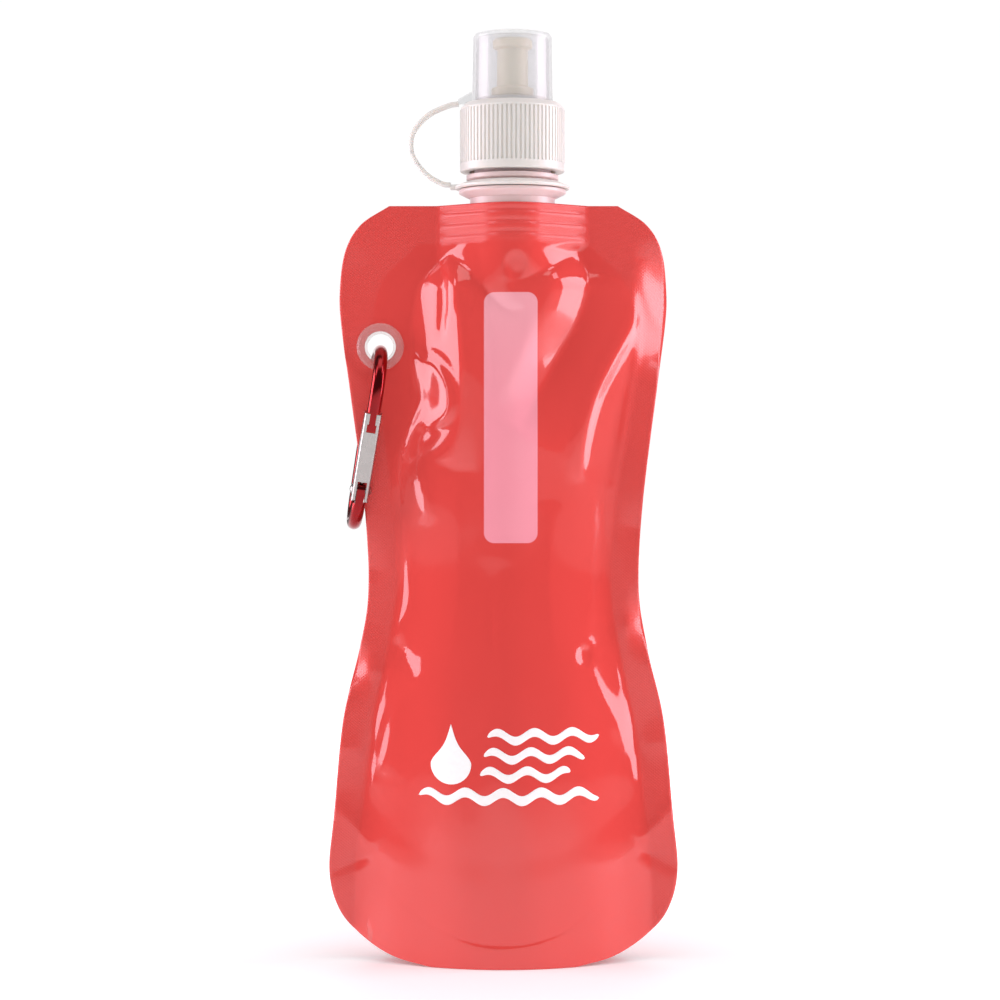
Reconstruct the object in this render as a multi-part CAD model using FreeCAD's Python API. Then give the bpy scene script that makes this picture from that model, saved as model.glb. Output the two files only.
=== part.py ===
"""Folding water bottle: a gusseted stand-up pouch of laminated film with a welded-in spout,
a screw cap with a push-pull nozzle and tethered dust cap, and a snap hook through an eyelet.

Millimetres, +Z up. The origin is on the floor under the middle of the pouch. The pouch lies
in the XZ plane: its front panel faces -Y, its welded side seams lie on Y = 0.
"""

import FreeCAD
import Part

import math
import os

from FreeCAD import Placement, Rotation, Vector

# ---- pouch -------------------------------------------------------------------------------
FILM = 0.3            # thickness of a panel of film
WELD_GAP = 0.08       # half the gap between the two panels along a weld
POUCH_TOP = 210.9
FOLD_Z = 103.0        # the waist, where the empty pouch folds in two
FOLD_GAP = 0.25       # clearance each side of the fold line
BASE_FLAT = 20.0      # half the length of the straight standing edge
TOP_FLAT = 32.0       # half the length of the straight top edge
HIP = (48.7, 25.0)    # widest point near the base: half width, height
WAIST = (37.9, FOLD_Z)
SHOULDER = (45.9, 187.0)
GUSSET_LOW = 6.5      # height of the gusset's middle above the floor
GUSSET_RISE = 17.0    # how much higher its two ends are
GUSSET_HALF = 40.0    # half the gusset's free length
REACH = 70.0          # longer than any part is deep, for cutting tools

# height against half the depth of the filled pouch, and against half the width between seams
DEPTHS = ((-6, 18.6), (18, 18.6), (45, 17.0), (75, 14.2), (FOLD_Z, 11.8), (132, 11.6),
          (160, 12.0), (185, 11.8), (200, 12.6), (218, 12.6))
CHAMBER = ((-6, 41.5), (28, 41.3), (45, 39.3), (67, 36.6), (86, 32.6), (FOLD_Z, 30.2),
           (127, 31.2), (158, 35.0), (180, 36.5), (191, 33.0), (200, 24.0), (218, 20.0))
FULLNESS = 1.2        # power that rounds the chamber's section
EYE_WELD = 8.5        # how much wider the left weld is beside the eyelet
EYE_WELD_LOW = (132, 26)     # where that widening starts, and over what height it grows
EYE_WELD_HIGH = (212, 16)    # where it ends, and over what height it fades
LEAN = (120, 60)      # where the chamber starts to lean to the spout's axis, and how far up
TO_BOAT = (187, 13)   # where the chamber starts to close on the spout's base, and how far up
GRID = (2.0, 2.6)     # spacing across and up of the points a panel's face runs through

# ---- spout -------------------------------------------------------------------------------
AXIS_X = 2.5          # the spout stands a little off the pouch's middle
BOAT_HALF = 19.5      # half the length of the boat-shaped base welded between the panels
BOAT_TIP = 21.0
BOAT_R = 12.6         # half the boat's depth
BOAT_LOW = 200.4
RIB = 1.5
RIB_COUNT = 4
RIB_SHRINK = 0.93
BORE_R = 9.3
NECK_R = 11.9
FLANGE_R = 15.0
FLANGE_Z = (214.0, 215.3)
BEAD_R = 12.9
BEAD_Z = (217.7, 219.9)
THREAD_ROOT_R = 10.8
THREAD_CREST_R = 11.7
THREAD_PITCH = 4.0
THREAD_TURNS = 1.6
THREAD_Z = 223.5
MOUTH_Z = 236.6

# ---- screw cap ---------------------------------------------------------------------------
CAP_R = 14.7
CAP_Z = (220.3, 239.5)
CAP_BORE_R = 12.0
CAP_THREAD_R = 11.1
CAP_PLATE = 1.5
KNURLS = 72
KNURL_DEEP = 0.45
KNURL_Z = (222.6, 237.6)
TOWER_R = 3.1
TOWER_BORE_R = 2.1
TOWER_TOP = 253.0
PLUG_R = 1.5
PLUG_TOP = 257.3
COLLAR_R = 10.2
COLLAR_TOP = 240.8
LINER_R = (9.0, 11.9)

# ---- nozzle and dust cap -----------------------------------------------------------------
NOZZLE_BORE_R = 3.2
NOZZLE_PROFILE = ((5.3, 239.8), (5.3, 241.5), (5.85, 241.7), (5.85, 243.7), (4.4, 244.3),
                  (4.25, 254.6), (5.5, 255.1), (5.5, 257.0), (4.9, 257.6))
NOZZLE_ROOF = 255.4
TIP_R = 1.65
DUST_R = (11.5, 11.2)
DUST_Z = (239.6, 259.0)
DUST_WALL = 0.9
DUST_EDGE = 1.0
TAB_WIDTH = 3.4

# ---- tether ------------------------------------------------------------------------------
RING_BORE_R = 12.1
RING_R = 16.1
RING_Z = (215.5, 216.5, 217.5)
STRAP_WIDTH = 3.0
STRAP_THICK = 1.2
# the strap's centre line, from the dust cap's tab to the ring's tab: X from the spout's axis, Z
STRAP_LINE = ((-15.2, 240.1), (-18.5, 239.4), (-24.3, 236.5), (-28.4, 231.4), (-28.6, 225.4),
              (-25.0, 219.8), (-20.2, 216.7), (-17.4, 216.15))

# ---- eyelet ------------------------------------------------------------------------------
EYE_X = -34.5
EYE_Z = 171.5
EYE_R = 6.6
EYE_BORE_R = 3.6
EYE_BARREL_R = 4.3
EYE_FLANGE = 1.1
EYE_SEAT = 0.03       # clearance between a washer and the film

# ---- snap hook, in its own frame: X across, Y from gate to spine, Z up, origin at the top ---
HOOK_TILT = 8.5       # leans out past the pouch's edge
HOOK_YAW = 6.5
HOOK_DROP = 1.35      # its top bend hangs this far below the eyelet's centre
ROD_R = 1.9
TOP_BEND = 11.0
LOW_BEND = 7.5
HOOK_LENGTH = 48.5    # between the rod's centre lines, top to bottom
GATE_WIDE = 4.8
GATE_DEEP = 4.0
GATE_WALL = 0.8
GATE_FROM = 4.1       # distances along the gate's side, from the top bend's end
RIVET_AT = 26.2
GATE_END_R = 3.4
TONGUE_THICK = 1.5
TONGUE_TO = 9.0
TONGUE_HEAD = 2.3
TONGUE_HEAD_LONG = 1.5
SLOT_PLAY = 0.15
KEY_PLAY = 0.4        # lets the gate swing past the tongue's head
LUG_THICK = 2.2
LUG_WINDOW = 2.7
WINDOW_FROM = 23.6
RIVET_R = 0.75
RIVET_HEAD_R = 1.35
PLUNGER_R = 0.6
SPRING_R = 1.0
SPRING_WIRE_R = 0.18
SPRING_TURNS = 7
SPRING_AT = 13.0


# ---- small helpers -----------------------------------------------------------------------
def smooth(t):
    """0 before 0, 1 after 1, with no corner at either end."""
    t = max(0.0, min(1.0, t))
    return t * t * (3 - 2 * t)


def along(stations, z):
    """Smooth curve through (height, value) stations, read at z."""
    last = len(stations) - 2
    i = max(0, min(last, sum(1 for s in stations[1:-1] if s[0] <= z)))
    (z1, v1), (z2, v2) = stations[i], stations[i + 1]
    z0, v0 = stations[max(0, i - 1)]
    z3, v3 = stations[min(last + 1, i + 2)]
    t = (z - z1) / (z2 - z1)
    m1 = (v2 - v0) / (z2 - z0) * (z2 - z1)
    m2 = (v3 - v1) / (z3 - z1) * (z2 - z1)
    return ((2 * t**3 - 3 * t**2 + 1) * v1 + (t**3 - 2 * t**2 + t) * m1
            + (3 * t**2 - 2 * t**3) * v2 + (t**3 - t**2) * m2)


def ring(r_out, r_in, z_low, z_high, x=AXIS_X):
    """Plain tube round a vertical axis."""
    at = Vector(x, 0, z_low)
    tube = Part.makeCylinder(r_out, z_high - z_low, at)
    return tube.cut(Part.makeCylinder(r_in, z_high - z_low, at)) if r_in else tube


def turned(profile, x=AXIS_X):
    """Solid of revolution about the vertical line through x; profile is (radius, height)."""
    points = [Vector(r, 0, z) for r, z in profile]
    wire = Part.makePolygon(points + points[:1])
    solid = Part.Face(wire).revolve(Vector(0, 0, 0), Vector(0, 0, 1), 360)
    solid.translate(Vector(x, 0, 0))
    return solid


def block(x, y, z):
    """Box from three (low, high) pairs."""
    size = [pair[1] - pair[0] for pair in (x, y, z)]
    return Part.makeBox(*size, Vector(x[0], y[0], z[0]))


def fused(shapes):
    return shapes[0].multiFuse(shapes[1:]).removeSplitter()


def helical_ridge(radius, height_out, width_root, width_crest, z_start, turns, overlap):
    """Thread ridge: height_out is positive outwards and negative inwards."""
    helix = Part.makeHelix(THREAD_PITCH, THREAD_PITCH * turns, radius)
    sunk = -overlap if height_out > 0 else overlap
    section = [(sunk, -width_root / 2), (height_out, -width_crest / 2),
               (height_out, width_crest / 2), (sunk, width_root / 2)]
    points = [Vector(radius + r, 0, z) for r, z in section]
    profile = Part.makePolygon(points + points[:1])
    ridge = Part.Wire(helix.Edges).makePipeShell([profile], True, True)
    ridge.translate(Vector(AXIS_X, 0, z_start))
    return ridge


# ---- pouch -------------------------------------------------------------------------------
def boat_depth(x):
    """Half the depth of the boat at x from its axis: a round middle with tangent wings."""
    touch = BOAT_R**2 / BOAT_TIP
    x = abs(x)
    if x <= touch:
        return math.sqrt(BOAT_R**2 - x**2)
    slope = math.sqrt(BOAT_R**2 - touch**2) / (BOAT_TIP - touch)
    return slope * max(0.0, BOAT_TIP - x)


def chamber_depth(x, z):
    """Half the depth of the filled pouch at a point of its front view."""
    to_boat = smooth((z - TO_BOAT[0]) / TO_BOAT[1])
    out = x - AXIS_X * smooth((z - LEAN[0]) / LEAN[1])
    room = along(CHAMBER, z)
    if out < 0:
        grown = smooth((z - EYE_WELD_LOW[0]) / EYE_WELD_LOW[1])
        room -= EYE_WELD * grown * smooth((EYE_WELD_HIGH[0] - z) / EYE_WELD_HIGH[1])
    share = max(0.0, 1 - (out / room)**2)
    bag = along(DEPTHS, z) * share**FULLNESS
    return (1 - to_boat) * bag + to_boat * boat_depth(x - AXIS_X)


def film_face(side):
    """Inner face of one panel, wider than the pouch. side is -1 for the front, 1 for the back."""
    columns = [-52 + GRID[0] * i for i in range(53)]
    rows = [-4 + GRID[1] * i for i in range(85)]
    grid = [[Vector(x, side * (chamber_depth(x, z) + WELD_GAP), z) for z in rows]
            for x in columns]
    surface = Part.BSplineSurface()
    surface.interpolate(grid)
    return surface.toShape()


def outline():
    """Front view of the pouch, as a face in the XZ plane."""
    edge = [(BASE_FLAT, 0), (31, 2.2), (40, 7.2), (46.0, 14.2), HIP, (47.4, 41), (44.9, 67),
            (40.5, 86), WAIST, (38.9, 127), (42.8, 158), (45.4, 177), SHOULDER, (44.4, 198),
            (40.0, 205.6), (TOP_FLAT, POUCH_TOP)]
    sides = []
    for sign in (1, -1):
        curve = Part.BSplineCurve()
        curve.interpolate([Vector(sign * x, 0, z) for x, z in edge])
        sides.append(curve.toShape())
    base = Part.makeLine(Vector(-BASE_FLAT, 0, 0), Vector(BASE_FLAT, 0, 0))
    top = Part.makeLine(Vector(-TOP_FLAT, 0, POUCH_TOP), Vector(TOP_FLAT, 0, POUCH_TOP))
    return Part.Face(Part.Wire(Part.__sortEdges__([base, sides[0], top, sides[1]])))


def outline_prism():
    prism = outline().extrude(Vector(0, 2 * REACH, 0))
    prism.translate(Vector(0, -REACH, 0))
    return prism


def film_panels(side, face, prism):
    """The panel below the fold line and the panel above it."""
    sheet = face.extrude(Vector(0, side * FILM, 0)).common(prism)
    wide = (-REACH, REACH)
    low = sheet.common(block(wide, wide, (-1, FOLD_Z - FOLD_GAP)))
    high = sheet.common(block(wide, wide, (FOLD_Z + FOLD_GAP, POUCH_TOP + 1)))
    axis = Vector(0, 1, 0)
    hole = Part.makeCylinder(EYE_BARREL_R, 2 * REACH, Vector(EYE_X, -REACH, EYE_Z), axis)
    return low, high.cut(hole)


def gusset_face():
    """Underside of the gusset: low in the middle, rising to its two ends, with a crease."""
    columns = [-50 + 5 * i for i in range(21)]
    rows = [-30 + 5 * i for i in range(13)]
    grid = []
    for x in columns:
        end = GUSSET_LOW + GUSSET_RISE * (abs(x) / GUSSET_HALF)**2.2
        grid.append([Vector(x, y, end + 2.5 * math.exp(-(y / 8)**2)) for y in rows])
    surface = Part.BSplineSurface()
    surface.interpolate(grid)
    return surface.toShape()


def bottom_gusset(faces, prism):
    """The folded bottom panel, with the skirts that are welded to the two side panels."""
    inside = [faces[s].extrude(Vector(0, -s * REACH, 0)) for s in (-1, 1)]
    floor = gusset_face()
    span = block((-GUSSET_HALF, GUSSET_HALF), (-REACH, REACH), (-1, 40))
    panel = floor.extrude(Vector(0, 0, FILM)).common(inside[0]).common(inside[1]).common(span)
    below = floor.extrude(Vector(0, 0, -40))
    skirts = []
    for s in (-1, 1):
        strip = faces[s].extrude(Vector(0, -s * FILM, 0)).common(prism).common(span)
        half = block((-REACH, REACH), (0, REACH) if s > 0 else (-REACH, 0), (-1, 40))
        skirts.append(strip.common(below).common(half).common(inside[0]).common(inside[1]))
    return fused([panel] + skirts)


# ---- spout -------------------------------------------------------------------------------
def boat_slab(scale, z_low, z_high):
    """Slice of the boat: a round middle with two straight wings cut off at the tips."""
    radius = BOAT_R * scale
    tip = BOAT_TIP * scale
    touch = radius**2 / tip
    high = math.sqrt(radius**2 - touch**2)
    core = Part.makeCylinder(radius, z_high - z_low, Vector(0, 0, z_low))
    corners = [(tip, 0), (touch, high), (-touch, high), (-tip, 0), (-touch, -high),
               (touch, -high)]
    points = [Vector(x, y, z_low) for x, y in corners]
    wings = Part.Face(Part.makePolygon(points + points[:1])).extrude(
        Vector(0, 0, z_high - z_low))
    slab = core.fuse(wings).common(
        block((-BOAT_HALF, BOAT_HALF), (-REACH, REACH), (z_low, z_high)))
    slab.translate(Vector(AXIS_X, 0, 0))
    return slab


def spout(faces):
    """Boat base, neck, tether seat, flange, bead and thread, with one bore through."""
    inside = [faces[s].extrude(Vector(0, -s * REACH, 0)) for s in (-1, 1)]
    gap = (POUCH_TOP - BOAT_LOW - RIB_COUNT * RIB) / (RIB_COUNT - 1)
    pieces = []
    for i in range(RIB_COUNT):
        low = BOAT_LOW + i * (RIB + gap)
        rib = boat_slab(1.03, low, low + RIB)
        pieces.append(rib.common(inside[0]).common(inside[1]))
        if i < RIB_COUNT - 1:
            pieces.append(boat_slab(RIB_SHRINK, low + RIB, low + RIB + gap))
    low, high = FLANGE_Z
    pieces.append(turned(((0, POUCH_TOP), (NECK_R, POUCH_TOP), (NECK_R, low - 1.2),
                          (FLANGE_R - 0.6, low), (FLANGE_R, low + 0.4), (FLANGE_R, high - 0.2),
                          (FLANGE_R - 0.2, high), (NECK_R, high), (NECK_R, BEAD_Z[0]),
                          (BEAD_R, BEAD_Z[0] + 0.5), (BEAD_R, BEAD_Z[1] - 0.6),
                          (THREAD_ROOT_R, BEAD_Z[1]), (THREAD_ROOT_R, MOUTH_Z - 0.5),
                          (THREAD_ROOT_R - 0.5, MOUTH_Z), (0, MOUTH_Z))))
    body = fused(pieces).cut(ring(BORE_R, 0, BOAT_LOW - 1, MOUTH_Z + 1))
    thread = helical_ridge(THREAD_ROOT_R, THREAD_CREST_R - THREAD_ROOT_R, 1.7, 0.7, THREAD_Z,
                           THREAD_TURNS, 0.4)
    return body.fuse(thread)


# ---- screw cap ---------------------------------------------------------------------------
def knurled_band():
    """The grip: a prism whose outline has one rib for each knurl."""
    points = []
    for i in range(KNURLS):
        for share, radius in ((0.0, CAP_R), (0.5, CAP_R), (0.62, CAP_R - KNURL_DEEP),
                              (0.88, CAP_R - KNURL_DEEP)):
            a = 2 * math.pi * (i + share) / KNURLS
            points.append(Vector(AXIS_X + radius * math.cos(a), radius * math.sin(a),
                                 KNURL_Z[0]))
    wire = Part.makePolygon(points + points[:1])
    return Part.Face(wire).extrude(Vector(0, 0, KNURL_Z[1] - KNURL_Z[0]))


def screw_cap():
    """Ribbed cap with an inner thread, a snap collar, and the tower and plug of the valve."""
    low, high = CAP_Z
    skirt = turned(((0, low), (CAP_R - 0.3, low), (CAP_R, low + 0.3), (CAP_R, KNURL_Z[0]),
                    (0, KNURL_Z[0])))
    lid = turned(((0, KNURL_Z[1]), (CAP_R - 0.1, KNURL_Z[1]), (CAP_R - 0.2, high - 1.4),
                  (CAP_R - 1.5, high), (0, high)))
    solid = fused([skirt, knurled_band(), lid])
    solid = solid.cut(ring(CAP_BORE_R, 0, low - 1, high - CAP_PLATE))
    collar = ring(COLLAR_R, COLLAR_R - 1.2, high - 0.3, COLLAR_TOP)
    tower = ring(TOWER_R, 0, high - CAP_PLATE, TOWER_TOP)
    plug = turned(((0, TOWER_TOP - 0.5), (PLUG_R, TOWER_TOP - 0.5), (PLUG_R, PLUG_TOP - 0.4),
                   (PLUG_R - 0.4, PLUG_TOP), (0, PLUG_TOP)))
    solid = fused([solid, collar, tower, plug])
    solid = solid.cut(ring(TOWER_BORE_R, 0, high - CAP_PLATE - 1, TOWER_TOP - 1.2))
    for angle in (0, 90):
        port = block((-5, 5), (-0.9, 0.9), (TOWER_TOP - 4.2, TOWER_TOP - 1.6))
        port.rotate(Vector(0, 0, 0), Vector(0, 0, 1), angle)
        port.translate(Vector(AXIS_X, 0, 0))
        solid = solid.cut(port)
    thread = helical_ridge(CAP_BORE_R, CAP_THREAD_R - CAP_BORE_R, 1.7, 0.7,
                           THREAD_Z + THREAD_PITCH / 2, 1.25, 0.4)
    return solid.fuse(thread)


def cap_liner():
    return ring(LINER_R[1], LINER_R[0], MOUTH_Z + 0.05, CAP_Z[1] - CAP_PLATE)


# ---- nozzle, dust cap, tether --------------------------------------------------------------
def nozzle():
    """Push-pull mouthpiece that slides on the cap's tower."""
    base, top = NOZZLE_PROFILE[0][1], NOZZLE_PROFILE[-1][1]
    solid = turned(((0, base),) + NOZZLE_PROFILE + ((0, top),))
    solid = solid.cut(ring(NOZZLE_BORE_R, 0, base - 1, NOZZLE_ROOF))
    return solid.cut(ring(TIP_R, 0, NOZZLE_ROOF - 1, top + 1))


def dust_cap():
    """Clear cup over the nozzle, with the tab that its strap grows from."""
    low, high = DUST_Z
    r_low, r_high = DUST_R
    edge = DUST_EDGE
    cup = turned(((0, low), (r_low, low), (r_high, high - edge),
                  (r_high - 0.3, high - 0.3), (r_high - edge, high), (0, high)))
    hollow = turned(((0, low - 1), (r_low - DUST_WALL, low - 1), (r_low - DUST_WALL, low),
                     (r_high - DUST_WALL, high - 1.6), (r_high - DUST_WALL - 0.6, high - 1.0),
                     (0, high - 1.0)))
    corners = ((-10.9, 239.6), (-15.2, 239.6), (-15.2, 240.6), (-11.0, 243.0))
    points = [Vector(AXIS_X + x, -TAB_WIDTH / 2, z) for x, z in corners]
    tab = Part.Face(Part.makePolygon(points + points[:1])).extrude(Vector(0, TAB_WIDTH, 0))
    return cup.fuse(tab).cut(hollow).removeSplitter()


def tether_ring():
    """Loose collar between the spout's flange and its bead, with the strap's lower tab."""
    low, edge, high = RING_Z
    solid = turned(((RING_BORE_R, low), (RING_R - 0.3, low), (RING_R, low + 0.3),
                    (RING_R, edge - 0.2), (RING_BORE_R + 1.0, high), (RING_BORE_R, high)))
    tab = block((AXIS_X - 17.4, AXIS_X - 14.0), (-TAB_WIDTH / 2, TAB_WIDTH / 2),
                (low, low + 1.3))
    return solid.fuse(tab).removeSplitter()


def tether_strap():
    """Moulded strap, bowed out beside the cap."""
    line = Part.BSplineCurve()
    line.interpolate([Vector(AXIS_X + x, 0, z) for x, z in STRAP_LINE])
    first, last = line.FirstParameter, line.LastParameter
    steps = 14
    edges = []
    for offset in (-STRAP_THICK / 2, STRAP_THICK / 2):
        points = []
        for i in range(steps + 1):
            at = first + (last - first) * i / steps
            tangent = line.tangent(at)[0]
            sideways = Vector(0, 0, 1) if i in (0, steps) else tangent.cross(Vector(0, -1, 0))
            if i == steps:
                sideways = sideways * -1
            points.append(line.value(at) + sideways.normalize() * offset)
        if offset > 0:
            points.reverse()
        curve = Part.BSplineCurve()
        curve.interpolate(points)
        edges.append(curve.toShape())
    ends = [Part.makeLine(edges[0].Vertexes[-1].Point, edges[1].Vertexes[0].Point),
            Part.makeLine(edges[1].Vertexes[-1].Point, edges[0].Vertexes[0].Point)]
    wire = Part.Wire([edges[0], ends[0], edges[1], ends[1]])
    strap = Part.Face(wire).extrude(Vector(0, STRAP_WIDTH, 0))
    strap.translate(Vector(0, -STRAP_WIDTH / 2, 0))
    return strap


# ---- eyelet ------------------------------------------------------------------------------
def eyelet_half(side, bore_r, barrel):
    """Washer on one side of the film; the front one carries the barrel."""
    back = side * (WELD_GAP + FILM + EYE_SEAT)
    profile = [(bore_r, back), (EYE_R, back), (EYE_R, back + side * 0.4),
               (EYE_R - 0.8, back + side * EYE_FLANGE),
               (bore_r + 0.5, back + side * EYE_FLANGE), (bore_r, back + side * 0.7)]
    points = [Vector(r, y, 0) for r, y in profile]
    face = Part.Face(Part.makePolygon(points + points[:1]))
    solid = face.revolve(Vector(0, 0, 0), Vector(0, 1, 0), side * 360)
    if barrel:
        length = WELD_GAP + FILM + EYE_FLANGE
        tube = Part.makeCylinder(EYE_BARREL_R - 0.02, length - back, Vector(0, back, 0),
                                 Vector(0, 1, 0))
        bore = Part.makeCylinder(bore_r, 2 * REACH, Vector(0, -REACH, 0), Vector(0, 1, 0))
        solid = solid.fuse(tube).cut(bore)
    solid.translate(Vector(EYE_X, 0, EYE_Z))
    return solid


# ---- snap hook ---------------------------------------------------------------------------
def hook_geometry():
    """Bend centres, and the point and direction of the straight gate side."""
    top = Vector(0, 0, -TOP_BEND)
    low = Vector(0, TOP_BEND - LOW_BEND, -(HOOK_LENGTH - LOW_BEND))
    between = low - top
    lean = math.asin((TOP_BEND - LOW_BEND) / between.Length)
    lean += math.atan2(between.y, -between.z)
    outward = Vector(0, -math.cos(lean), -math.sin(lean))
    return top, low, lean, outward


def gate_frame(shape):
    """Moves a shape drawn along the gate side into the hook's frame. There, X is across,
    Y is depth (negative outwards) and Z is minus the distance along the side."""
    top, low, lean, outward = hook_geometry()
    turn = Rotation(Vector(1, 0, 0), math.degrees(lean))
    placed = shape.copy()
    placed.Placement = Placement(top + outward * TOP_BEND, turn).multiply(shape.Placement)
    return placed


def hung(shape):
    """Moves a shape from the hook's frame to where it hangs in the eyelet."""
    turn = Rotation(Vector(0, 1, 0), HOOK_TILT).multiply(
        Rotation(Vector(0, 0, 1), HOOK_YAW))
    placed = shape.copy()
    at = Placement(Vector(EYE_X, 0, EYE_Z - HOOK_DROP), turn)
    placed.Placement = at.multiply(shape.Placement)
    return placed


def along_x(radius, length, depth, distance):
    """Cylinder across the gate side, centred on it."""
    return Part.makeCylinder(radius, length, Vector(-length / 2, depth, -distance),
                             Vector(1, 0, 0))


def hook_frame():
    """Bent rod from the nose, over the top, down the spine and round to the hinge lug."""
    top, low, lean, outward = hook_geometry()
    down = Vector(0, math.sin(lean), -math.cos(lean))
    nose_top = top + outward * TOP_BEND
    nose_end = nose_top + down * (GATE_FROM - 0.3)
    rear = Vector(0, 1, 0)
    half_way = Vector(0, 0, 1)
    stub = low + outward * LOW_BEND
    path = Part.Wire([
        Part.makeLine(nose_end, nose_top),
        Part.Arc(nose_top, top + half_way * TOP_BEND, top + rear * TOP_BEND).toShape(),
        Part.makeLine(top + rear * TOP_BEND, low + rear * LOW_BEND),
        Part.Arc(low + rear * LOW_BEND, low - half_way * LOW_BEND, stub).toShape()])
    section = Part.Wire(Part.makeCircle(ROD_R, nose_end, down))
    rod = path.makePipeShell([section], True, True)
    half = TONGUE_THICK / 2
    tongue = block((-half, half), (-1.9, 0.9), (-TONGUE_TO, -(GATE_FROM - 0.6)))
    head = block((-TONGUE_HEAD / 2, TONGUE_HEAD / 2), (-1.9, 0.9),
                 (-TONGUE_TO, -(TONGUE_TO - TONGUE_HEAD_LONG)))
    half = LUG_THICK / 2
    lug_end = (nose_top - stub).Length + 0.4
    lug = block((-half, half), (-ROD_R, ROD_R), (-lug_end, -RIVET_AT))
    lug = lug.fuse(along_x(ROD_R, LUG_THICK, 0, RIVET_AT))
    hole = along_x(RIVET_R + 0.02, 10, 0, RIVET_AT)
    pieces = [rod] + [gate_frame(s) for s in (tongue, head, lug)]
    return fused(pieces).cut(gate_frame(hole))


def hook_gate():
    """Folded channel, open towards the spine, slotted for the tongue and for the lug."""
    wide, deep = GATE_WIDE / 2, GATE_DEEP / 2
    body = block((-wide, wide), (-deep, deep), (-RIVET_AT, -GATE_FROM))
    foot = block((-wide, wide), (-deep, deep), (-RIVET_AT - GATE_END_R, -RIVET_AT))
    body = body.fuse(foot.common(along_x(GATE_END_R, GATE_WIDE, 0, RIVET_AT))).removeSplitter()
    corners = [e for e in body.Edges
               if e.BoundBox.YMax < -deep + 0.01 and e.BoundBox.ZLength > 15]
    body = body.makeFillet(1.0, corners)
    inner = wide - GATE_WALL
    body = body.cut(block((-inner, inner), (-deep + GATE_WALL, deep + 1), (-40, 0)))
    neck = TONGUE_THICK / 2 + SLOT_PLAY
    head = TONGUE_HEAD / 2 + SLOT_PLAY
    front = (-deep - 1, -deep + GATE_WALL + 0.1)
    slot = block((-neck, neck), front, (-TONGUE_TO, 0))
    key = block((-head, head), front,
                (-TONGUE_TO - KEY_PLAY, -(TONGUE_TO - TONGUE_HEAD_LONG - KEY_PLAY)))
    window = block((-LUG_WINDOW / 2, LUG_WINDOW / 2), front, (-40, -WINDOW_FROM))
    crimp = block((-inner - 0.1, inner + 0.1), (-deep + 0.3, 0.6),
                  (-SPRING_AT, -SPRING_AT + 0.8))
    body = body.fuse(crimp)
    for tool in (slot, key, window, along_x(RIVET_R + 0.1, 10, 0, RIVET_AT)):
        body = body.cut(tool)
    return gate_frame(body)


def hook_rivet():
    """Hinge rivet with two domed heads."""
    grip = GATE_WIDE + 0.1
    pin = along_x(RIVET_R, grip, 0, RIVET_AT)
    pieces = [pin]
    dome_r = 1.7
    sink = math.sqrt(dome_r**2 - RIVET_HEAD_R**2)
    for sign in (-1, 1):
        ball = Part.makeSphere(dome_r, Vector(sign * (grip / 2 - sink), 0, -RIVET_AT))
        keep = (grip / 2, 6) if sign > 0 else (-6, -grip / 2)
        pieces.append(ball.common(block(keep, (-3, 3), (-RIVET_AT - 3, -RIVET_AT + 3))))
    return gate_frame(fused(pieces))


def spring_plunger():
    """Small pin that the spring presses onto the round end of the lug, off its centre."""
    top = RIVET_AT - ROD_R - 0.12
    return gate_frame(Part.makeCylinder(PLUNGER_R, 3.4, Vector(0, 0.3, -top)))


def gate_spring():
    """Coil spring inside the gate's channel."""
    length = RIVET_AT - ROD_R - 3.6 - SPRING_AT - 2 * SPRING_WIRE_R - 0.2
    helix = Part.makeHelix(length / SPRING_TURNS, length, SPRING_R)
    section = Part.Wire(Part.makeCircle(SPRING_WIRE_R, Vector(SPRING_R, 0, 0),
                                        Vector(0, 1, 0)))
    coil = Part.Wire(helix.Edges).makePipeShell([section], True, True)
    coil.translate(Vector(0, 0.3, -(SPRING_AT + length + SPRING_WIRE_R + 0.1)))
    return gate_frame(coil)


# ---- everything --------------------------------------------------------------------------
def build():
    prism = outline_prism()
    faces = {side: film_face(side) for side in (-1, 1)}
    front_low, front_high = film_panels(-1, faces[-1], prism)
    back_low, back_high = film_panels(1, faces[1], prism)
    return {
        "front_film_lower": front_low,
        "front_film_upper": front_high,
        "back_film_lower": back_low,
        "back_film_upper": back_high,
        "bottom_gusset": bottom_gusset(faces, prism),
        "spout": spout(faces),
        "screw_cap": screw_cap(),
        "cap_liner": cap_liner(),
        "nozzle": nozzle(),
        "dust_cap": dust_cap(),
        "tether_strap": tether_strap(),
        "tether_ring": tether_ring(),
        "eyelet_front": eyelet_half(-1, EYE_BORE_R, True),
        "eyelet_back": eyelet_half(1, EYE_BARREL_R, False),
        "hook_frame": hung(hook_frame()),
        "hook_gate": hung(hook_gate()),
        "hook_rivet": hung(hook_rivet()),
        "spring_plunger": hung(spring_plunger()),
        "gate_spring": hung(gate_spring()),
    }


def main():
    os.makedirs("parts", exist_ok=True)
    for name, shape in build().items():
        solids = shape.Solids
        shape = solids[0] if len(solids) == 1 else Part.Compound(solids)
        shape.exportStep("parts/" + name + ".step")
        print(name, len(solids), "solid", "valid" if shape.isValid() else "INVALID",
              round(shape.Volume, 1), "mm3")


main()
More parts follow.
